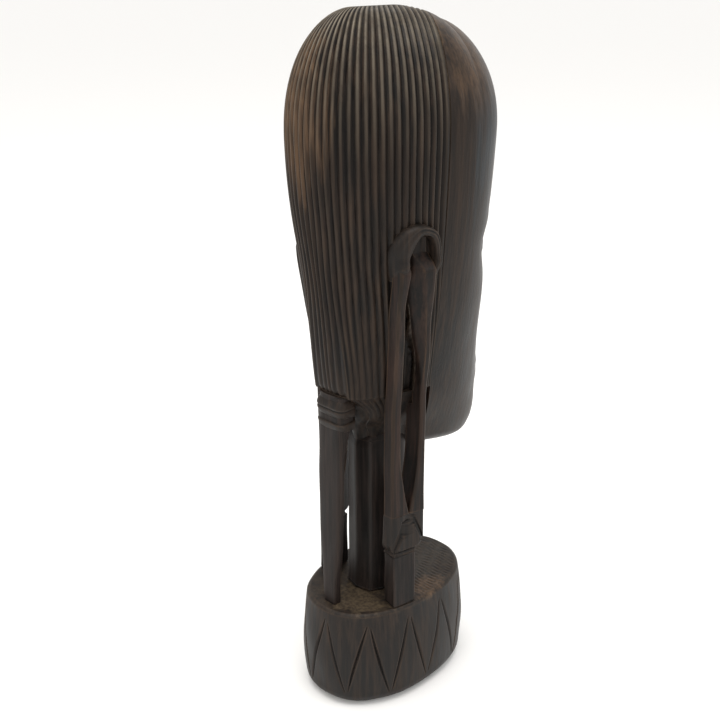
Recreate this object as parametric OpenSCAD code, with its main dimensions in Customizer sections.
// Carved head on a drum base: a tall head with ribbed hair, a tied tail of hair and
// stretched earlobes that all come down to the base. Millimetres, +Z up.
// The origin is the middle of the base's resting face. The face looks along -Y.

/* [Overall] */
// Height from the resting face to the crown
total_h = 300; // [270:5:360]
// Height of the head from the chin to the crown
head_h = 195; // [165:5:205]

/* [Base] */
// Height of the drum
base_h = 48; // [34:1:60]
// Width of the drum's top, ear to ear
base_w = 55; // [50:1:70]
// Length of the drum's top, front to back
base_l = 79; // [74:1:96]
// How far the drum's side swells past its top edge
base_bulge = 2.4; // [0.5:0.1:4]
// Radius of the rounded edge at the foot of the drum
base_round = 6; // [2:0.5:9]

/* [Head] */
// Greatest width of the head
head_w = 66; // [56:1:74]
// Reach of the back of the head behind the origin
head_back = 42; // [39:1:50]
// Reach of the forehead in front of the origin
head_front = 54; // [45:1:62]
// Width of the jaw at the mouth
jaw_w = 46; // [36:1:50]
// Width of the chin's underside
chin_w = 30; // [22:1:36]
// Reach of the nose past the face
nose_out = 8; // [5:0.5:11]

/* [Neck] */
// Width of the neck column
neck_w = 21; // [14:0.5:24]
// Length of the neck column, front to back
neck_l = 28; // [20:0.5:29]

/* [Tail of hair] */
// Width of the tail under the tie
tail_w = 15; // [12:0.5:18]
// Width of the tail where it stands on the drum
tail_foot_w = 7.5; // [6:0.5:12]
// Depth of the tail where it stands on the drum
tail_foot_l = 4.5; // [4:0.5:7]
// Height of the broad band of the tie
tie_h = 9; // [7:0.5:11]
// Height of the narrow band under it
tie_low_h = 4.5; // [3:0.5:6]
// How far the bands stand proud of the tail
tie_proud = 0.9; // [0.5:0.1:1.5]

/* [Ears and lobes] */
// Height of the ear above the tops of the strands
ear_h = 22; // [18:1:28]
// Length of the ear, front to back
ear_l = 22; // [19:0.5:25]
// How far the ear's rim stands off the head
ear_out = 3.2; // [2:0.1:5]
// How much the lobe turns with the side of the head: sideways travel for each mm back
lobe_lean = 0.2; // [0.1:0.02:0.3]
// Distance of the lobe's front edge behind the origin, at the ear
lobe_front_y = 5; // [2:0.5:7]
// How far the lobe comes forward between the ear and the tie
lobe_step = 3.3; // [0:0.1:4]
// Width of the lobe's front strand, front to back
front_strand_l = 2.9; // [2.3:0.1:4]
// Width of the slit between the strands
slit_l = 9.5; // [6:0.5:11]
// Width of the lobe's rear strand, front to back
rear_strand_l = 4.3; // [3:0.1:6]
// Thickness of the front strand, ear to ear
front_strand_t = 8.5; // [6:0.5:10]
// Thickness of the rear strand, ear to ear
rear_strand_t = 5; // [4:0.2:7]
// Height of the block that the lobe stands on
foot_h = 26; // [18:1:30]
// Length of that block, front to back
foot_l = 11.5; // [9:0.5:14]
// Height of the pointed bead between the block and the strands
bead_h = 19; // [13:1:22]
// Distance from the outside of the block to the drum's edge
rim_margin = 0.8; // [0.5:0.1:3]

/* [Hidden] */
SIDES = ["right", "left"];

ebony = "#2e2622";
polished = "#38302b";
worn = "#4a3a2e";

chin_z = total_h - head_h;
// Heights inside the head, as shares of its height above the chin
function up_head(share) = chin_z + share * head_h;
dome_z = up_head(0.74);
ear_z = up_head(0.487);
tie_z = up_head(0.222);
fork_z = up_head(0.165);
nape_z = up_head(0.04);

// The surface that parts hair from face: level along the ear, forward at the crown
hairline_y = -3;
throat_y = -11;
crest_front_y = -22;
crest_back_y = 17;
flat_crown = 0.07;

neck_back = throat_y + 0.5 + neck_l;
web_y = neck_back + 5.5;
tail_back_top = head_back - 9.7;
tail_foot_back = base_l / 2 - 4.5;
tail_foot_front = tail_foot_back - tail_foot_l;

section_sides = 48;
section_step = 180 / (section_sides / 2);

/* ---- curves ---- */

// Index of the span of a table [[at, value], ...] that holds z
function span(tab, z, i = 0) =
    i >= len(tab) - 2 || z <= tab[i + 1][0] ? i : span(tab, z, i + 1);

function slope_at(tab, i) =
    let (a = max(i - 1, 0), b = min(i + 1, len(tab) - 1))
    (tab[b][1] - tab[a][1]) / (tab[b][0] - tab[a][0]);

// Smooth curve through a table's points
function curve(tab, z) =
    let (i = span(tab, z), run = tab[i + 1][0] - tab[i][0],
        u = min(max((z - tab[i][0]) / run, 0), 1),
        m0 = slope_at(tab, i) * run, m1 = slope_at(tab, i + 1) * run)
    (2 * u * u * u - 3 * u * u + 1) * tab[i][1] + (u * u * u - 2 * u * u + u) * m0
    + (3 * u * u - 2 * u * u * u) * tab[i + 1][1] + (u * u * u - u * u) * m1;

function soft_power(v, n) = sign(v) * pow(abs(v), 2 / n);

// Bell curve of height 1 around 0
function bell(d, wide) = exp(-(d * d) / (2 * wide * wide));

// 0 before a, 1 after b, smooth between
function ease(a, b, v) = let (u = min(max((v - a) / (b - a), 0), 1)) u * u * (3 - 2 * u);

/* ---- lofts ---- */

// A closed solid through level outlines with the same number of points, lowest first,
// each outline counter-clockwise from above
module loft(rows) {
    n = len(rows[0]);
    top = (len(rows) - 1) * n;
    polyhedron(
        points = [for (r = rows) each r],
        faces = concat(
            [[for (i = [0 : n - 1]) i]],
            [for (j = [0 : len(rows) - 2]) for (i = [0 : n - 1])
                let (a = j * n + i, b = j * n + (i + 1) % n)
                each [[a, a + n, b + n], [a, b + n, b]]],
            [[for (i = [n - 1 : -1 : 0]) top + i]]));
}

// Superellipse outline: half sizes a and b, squareness n
function oval(a, b, n, z, x0 = 0, y0 = 0, sides = section_sides) =
    [for (i = [0 : sides - 1]) let (t = 360 * i / sides)
        [x0 + a * soft_power(cos(t), n), y0 + b * soft_power(sin(t), n), z]];

// Half outline behind the line y0, with a flat end of half width flat at the back
function back_half(a, reach, n, flat, y0, z) =
    [for (t = [0 : section_step : 180])
        [sign(cos(t)) * (min(flat, a) * min(1, 4 * abs(cos(t)))
            + (a - min(flat, a)) * pow(abs(cos(t)), 2 / n)),
            y0 + reach * soft_power(sin(t), n), z]];

/* ---- the head's form ---- */

// 1 on the sides of the head, falling to almost nothing at the crown
function dome(z, square = 2.3) =
    z <= dome_z ? 1
    : pow(max(0, 1 - pow((z - dome_z) / (total_h - dome_z), square)), 1 / 2.1)
        * (1 - flat_crown) + flat_crown;

function half_w(z) = dome(z) * curve([
    [up_head(0), chin_w / 2], [up_head(0.06), chin_w / 2 + 2.5],
    [up_head(0.2), jaw_w / 2], [up_head(0.38), head_w / 2 * 0.86],
    [up_head(0.55), head_w / 2 * 0.95], [up_head(0.74), head_w / 2],
    [up_head(1), head_w / 2]], z);

function split_y(z) =
    crest_front_y + (curve([[up_head(0.1), throat_y], [up_head(0.3), hairline_y],
        [up_head(1), hairline_y]], z) - crest_front_y) * pow(dome(z), 0.8);

function back_y(z) =
    crest_back_y + (curve([[tie_z, tail_back_top], [up_head(0.45), head_back - 5.2],
        [up_head(0.65), head_back - 1], [up_head(0.76), head_back],
        [up_head(1), head_back]], z) - crest_back_y) * dome(z);

function front_y(z) =
    crest_front_y + (-curve([[up_head(0), head_front - 8], [up_head(0.05), head_front - 3],
        [up_head(0.12), head_front - 1], [up_head(0.3), head_front - 4],
        [up_head(0.5), head_front - 5], [up_head(0.62), head_front - 2],
        [up_head(0.78), head_front], [up_head(1), head_front]], z) - crest_front_y)
    * dome(z, 1.9);

// Levels of a loft from z0 to z1, closer together near the crown
function levels(z0, z1, count) =
    [for (j = [0 : count]) let (u = j / count) z0 + (z1 - z0) * (1 - pow(1 - u, 1.6))];

function level_rows(z0, z1, count) =
    [for (j = [0 : count]) z0 + (z1 - z0) * j / count];

/* ---- face relief ---- */

eye_z = up_head(0.5);
brow_z = up_head(0.555);
nose_z = up_head(0.285);
mouth_z = up_head(0.185);
eye_x = head_w * 0.2;

// How far the face's features stand out at x, z
function relief(x, z) =
    let (on_nose = ease(brow_z + 4, nose_z + 3, z) * (1 - ease(nose_z + 1, nose_z - 6, z)),
        nose_wide = 3 + 2.2 * ease(eye_z, nose_z + 2, z))
    nose_out * on_nose * bell(x, nose_wide)
    + 2 * bell(z - nose_z - 3, 4) * (bell(x - 5, 2.4) + bell(x + 5, 2.4))
    + 2.2 * bell(z - brow_z, 5) * bell(abs(x) - eye_x * 0.8, 9)
    - 3.2 * bell(z - eye_z, 6) * bell(abs(x) - eye_x, 6)
    + 2.8 * bell(z - eye_z + 1, 3.4) * bell(abs(x) - eye_x, 5.4)
    + 3.4 * bell(z - mouth_z - 3, 2.6) * bell(x, 8)
    + 3.2 * bell(z - mouth_z + 4, 2.9) * bell(x, 7)
    + 2.6 * bell(z - up_head(0.06), 7) * bell(x, 9);

face_steps = 44;
// The jaw's underside rises from the chin to the throat
jaw_slope = 0.25;
jaw_front_y = 3 - head_front;

function face_row(z) =
    let (a = half_w(z), reach = split_y(z) - front_y(z),
        slope = jaw_slope * (1 - ease(chin_z, chin_z + 40, z)))
    [for (i = [0 : face_steps]) let (t = 180 + 180 * i / face_steps,
            x = a * soft_power(cos(t), 2.3),
            lift = relief(x, z) * pow(abs(sin(t)), 0.5),
            y = split_y(z) + reach * soft_power(sin(t), 2.3) - lift)
        [x, y, z + slope * (y - jaw_front_y)]];

module face_form() {
    loft([for (z = levels(chin_z, total_h, 60)) face_row(z)]);
}

// Squareness of the hair's outline, and the half width of its flat back
function hair_n(z) = 1.55 + 0.75 * ease(tie_z, up_head(0.65), z);
function hair_flat(z) = tail_w / 2 * (1 - ease(tie_z, up_head(0.55), z));

module hair_form() {
    loft([for (z = levels(tie_z, total_h, 30))
        back_half(half_w(z), back_y(z) - split_y(z), hair_n(z), hair_flat(z), split_y(z), z)]);
}

// Hair under the tie, narrowing to the neck. Its back is flat where the tail joins it.
nape_n = 1.9;

function nape_half_w(z) = curve([[nape_z, neck_w / 2], [up_head(0.1), neck_w / 2 + 2],
    [up_head(0.18), (neck_w / 2 + half_w(tie_z)) / 2 + 1], [tie_z, half_w(tie_z)]], z);

function nape_back(z) = curve([[nape_z, neck_back], [fork_z - 8, neck_back + 2.5],
    [fork_z, web_y], [tie_z, web_y]], z);

function nape_flat(z) = tail_w / 2 * ease(fork_z - 8, fork_z, z);

// Half width at y of an outline that back_half draws
function back_half_x(a, reach, n, flat, y0, y) =
    let (s = min(1, max(0, (y - y0) / reach)), side = 1 - pow(s, n))
    min(flat, a) * min(1, 4 * sqrt(side)) + (a - min(flat, a)) * pow(side, 1 / n);

// Half width of the hair at y and z, behind the parting surface
function skin_x(y, z) =
    z >= tie_z ? back_half_x(half_w(z), back_y(z) - split_y(z), hair_n(z), hair_flat(z),
        split_y(z), y)
    : z >= nape_z ? back_half_x(nape_half_w(z), nape_back(z) - split_y(z), nape_n,
        nape_flat(z), split_y(z), y)
    : 0;

/* ---- head pieces ---- */

module face() {
    color(polished) face_form();
}

module hair_cap() {
    color(ebony) hair_form();
}

module nape_hair() {
    color(ebony)
        loft([for (z = level_rows(nape_z, tie_z, 14))
            back_half(nape_half_w(z), nape_back(z) - split_y(z), nape_n, nape_flat(z),
                split_y(z), z)]);
}

module neck() {
    color(ebony)
        loft([for (z = level_rows(base_h, nape_z, 6))
            oval(neck_w / 2, neck_l / 2, 2.4, z, 0, neck_back - neck_l / 2)]);
}

/* ---- tail of hair ---- */

function tail_half_w(z) = curve([[base_h, tail_foot_w / 2], [base_h + 12, tail_foot_w / 2 + 0.5],
    [base_h + 30, tail_w / 2 - 1.7], [base_h + 50, tail_w / 2 - 0.7], [tie_z, tail_w / 2]], z);

function tail_back(z) = curve([[base_h, tail_foot_back], [tie_z, tail_back_top]], z);

function tail_front(z) = curve([[base_h, tail_foot_front], [base_h + 20, tail_foot_front - 0.3],
    [fork_z - 18, tail_foot_front - 0.8], [fork_z - 7, web_y + 3.5], [fork_z + 2, web_y],
    [tie_z, web_y]], z);

function tail_row(z, grow) =
    let (mid = (tail_back(z) + tail_front(z)) / 2, b = (tail_back(z) - tail_front(z)) / 2)
    oval(tail_half_w(z) + grow, b, 5, z, 0, mid, 32);

module tail() {
    color(ebony) loft([for (z = level_rows(base_h, tie_z, 26)) tail_row(z, 0)]);
}

// A band around the sides and back of the tail, from z0 up to z1
module tie_band(z0, z1) {
    mid_z = (z0 + z1) / 2;
    difference() {
        hull()
            for (step = [[z0, 0], [mid_z, tie_proud], [z1, 0]])
                translate([0, 0, step[0] - 0.01])
                    linear_extrude(0.02)
                        polygon([for (p = tail_row(mid_z, step[1]))
                            [p[0], p[1] > tail_front(mid_z) + 4 ? p[1] + step[1] : p[1]]]);
        loft([for (z = level_rows(z0 - 1, z1 + 1, 3)) tail_row(z, 0)]);
    }
}

module tail_tie_upper() {
    color(worn) tie_band(tie_z - 1.5 - tie_h, tie_z - 1.5);
}

module tail_tie_lower() {
    color(worn) tie_band(tie_z - 2.5 - tie_h - tie_low_h, tie_z - 2.5 - tie_h);
}

/* ---- ears and lobes ---- */

// Half width of the drum's top edge at y
function rim_x(y) = base_w / 2 * pow(1 - pow(min(1, abs(y) / (base_l / 2)), 2.2), 1 / 2.2);

lobe_l = front_strand_l + slit_l + rear_strand_l;
lobe_mid_y = lobe_front_y + lobe_l / 2;
slit_mid_y = lobe_front_y + front_strand_l + slit_l / 2;
foot_mid_y = lobe_mid_y - 1.7;
foot_back_y = foot_mid_y + foot_l / 2;
foot_t = (front_strand_t + rear_strand_t) / 2 + 1;
foot_out = rim_x(foot_back_y) + lobe_lean * (foot_back_y - lobe_front_y) - rim_margin;
foot_top_z = base_h + foot_h;
bead_top_z = foot_top_z + bead_h;
ear_top_out = half_w(ear_z + ear_h) + ear_out;

// Outside of the lobe at height z: it hangs straight, and swings out to the ear above the tie
function lobe_out(z) = curve([[base_h, foot_out], [tie_z - 6, foot_out - 0.4],
    [(tie_z + ear_z) / 2, (foot_out + ear_top_out) / 2 - 0.5], [ear_z, ear_top_out - 0.6],
    [ear_z + ear_h, ear_top_out]], z);

// How far forward the lobe lies at height z, against its place at the ear
function step_y(z) = -lobe_step * ease(ear_z, tie_z, z);

// How open the slit is at height z: shut at its pointed foot, open along most of its length
function slit_open(z) =
    curve([[0, 0], [0.1, 0.5], [0.26, 0.92], [0.5, 1], [0.86, 1], [1, 0.72]],
        (z - bead_top_z) / (ear_z - bead_top_z));

function slit_y(z) = slit_mid_y + step_y(z) + 1.2 * ease(ear_z - 25, ear_z, z);

// How far the front strand widens back towards the ear, which narrows the slit there
function front_grow(z) =
    slit_l / 2 * ease((bead_top_z + ear_z) / 2, ear_z - 6, z);

// A level outline turned with the side of the head
function leaned(row) = [for (p = row) [p[0] - lobe_lean * (p[1] - lobe_front_y), p[1], p[2]]];

// Outline of a strand at height z from y0 to y1, t thick, rounded outside. Where it would
// enter the head, its inner side lies on the hair, but the strand never gets thinner than thin.
// Elsewhere the inner side bows out by inner_bow. Behind wall_y the outer side slopes in.
thin = 0.8;
inner_bow = 0.25;
function strand_row(z, y0, y1, t, wall_y) =
    let (out = lobe_out(z), round = min(1.2, (y1 - y0) * 0.45), play = t - round - thin,
        outside = [
            for (q = [-90 : 22.5 : 0]) [out - round + round * cos(q), y0 + round + round * sin(q), z],
            for (q = [0 : 22.5 : 90]) [out - round + round * cos(q), y1 - round + round * sin(q), z]],
        inside = [for (i = [0 : 6])
            [out - t - inner_bow * sin(30 * i), y1 + (y0 - y1) * i / 6, z]])
    concat([for (p = leaned(outside)) [p[0] - max(0, p[1] - wall_y), p[1], z]],
        [for (p = leaned(inside))
        [p[0] + min(play, max(0, skin_x(p[1], z) - p[0])), p[1], z]]);

strand_levels = [0, 0.03, 0.07, 0.12, 0.2, 0.28, 0.36, 0.44, 0.52, 0.6, 0.68, 0.76, 0.84, 0.92, 1];
function strand_heights() = [for (u = strand_levels) bead_top_z + (ear_z - bead_top_z) * u];

module to_side(side) {
    mirror([side == "right" ? 1 : 0, 0, 0]) children();
}

module lobe_rear_strand(side) {
    color(ebony) to_side(side)
        loft([for (z = strand_heights())
            strand_row(z, slit_y(z) + slit_l / 2 * slit_open(z),
                lobe_front_y + lobe_l + step_y(z), rear_strand_t,
                lobe_front_y + lobe_l)]);
}

module lobe_front_strand(side) {
    color(ebony) to_side(side)
        loft([for (z = strand_heights())
            let (wall_y = slit_y(z) - slit_l / 2 * slit_open(z))
            strand_row(z, lobe_front_y + step_y(z), wall_y + front_grow(z), front_strand_t,
                wall_y)]);
}

module lobe_foot(side) {
    color(ebony) to_side(side)
        loft([for (z = level_rows(base_h, foot_top_z, 4))
            leaned(oval(foot_t / 2, foot_l / 2, 7, z, lobe_out(z) - foot_t / 2, foot_mid_y, 32))]);
}

// The bead widens from the block to the whole width of the lobe
module lobe_bead(side) {
    color(worn) to_side(side)
        loft([for (z = level_rows(foot_top_z, bead_top_z, 8))
            let (u = (z - foot_top_z) / bead_h, wide = ease(0, 0.75, u),
                half_l = (foot_l + (lobe_l - foot_l) * wide) / 2,
                half_t = (foot_t + (rear_strand_t + 1 - foot_t) * u) / 2)
            leaned(oval(half_t, half_l, 6, z, lobe_out(z) - half_t,
                foot_mid_y + (lobe_mid_y - lobe_step - foot_mid_y) * wide, 32))]);
}

// Stations of the ear's rim, from the rear strand over the top to the front strand:
// shares of the ear's length and height, and half the rim's width as a share of its length
rim_y = [[0, 0.79], [1, 0.81], [2, 0.78], [3, 0.66], [4, 0.45], [5, 0.2], [6, 0.09], [7, 0.09], [8, 0.2]];
rim_z = [[0, 0], [1, 0.3], [2, 0.58], [3, 0.8], [4, 0.9], [5, 0.8], [6, 0.54], [7, 0.28], [8, 0]];
rim_w = [[0, 0.1], [1, 0.145], [2, 0.19], [3, 0.17], [4, 0.11], [5, 0.09], [6, 0.07], [7, 0.065], [8, 0.07]];
rim_end = len(rim_y) - 1;
ear_front_y = lobe_front_y - 3.3;

function rim_at(t) = [ear_front_y + ear_l * curve(rim_y, t), ear_z + ear_h * curve(rim_z, t)];

// Direction across the rim, away from the ear's middle; level at both ends
function rim_across(t) =
    t <= 0 ? [1, 0] : t >= rim_end ? [-1, 0]
    : let (d = rim_at(t + 0.01) - rim_at(t - 0.01)) [d[1], -d[0]] / norm(d);

// Outline across the rim: a rounded back on the outside, the head's hair on the inside
function rim_row(t) =
    let (mid = rim_at(t), across = rim_across(t), half = ear_l * curve(rim_w, t), n = 8)
    [for (i = [0 : 2 * n - 1])
        let (q = 180 * i / n, p = mid - across * half * cos(q),
            rise = i < n ? ear_out * pow(sin(q), 0.6) : 0)
        [skin_x(p[0], p[1]) + rise, p[0], p[1]]];

// The ear's rim is an arch that stands on the tops of the two strands
module ear(side) {
    steps = 32;
    color(worn) to_side(side) loft([for (j = [0 : steps]) rim_row(rim_end * j / steps)]);
}

/* ---- drum base ---- */

// Growth of the drum's outline at height z, against its top edge
function base_swell(z) =
    let (foot = base_round - sqrt(max(0, pow(base_round, 2)
            - pow(max(0, base_round - z), 2))),
        top = 0.8 * ease(base_h - 1.2, base_h, z))
    base_bulge * sin(180 * min(1, (z + 8) / (base_h + 8))) - foot - top;

module drum_base() {
    rise = concat([0, 0.4, 1, 2, 3.5], level_rows(base_round, base_h - 1.2, 9), [base_h - 0.5, base_h]);
    color(ebony)
        loft([for (z = rise) oval(base_w / 2 + base_swell(z), base_l / 2 + base_swell(z), 2.2, z)]);
}

/* ---- the figure ---- */

drum_base();
neck();
face();
hair_cap();
nape_hair();
tail();
tail_tie_upper();
tail_tie_lower();
for (side = SIDES) {
    ear(side);
    lobe_rear_strand(side);
    lobe_front_strand(side);
    lobe_bead(side);
    lobe_foot(side);
}
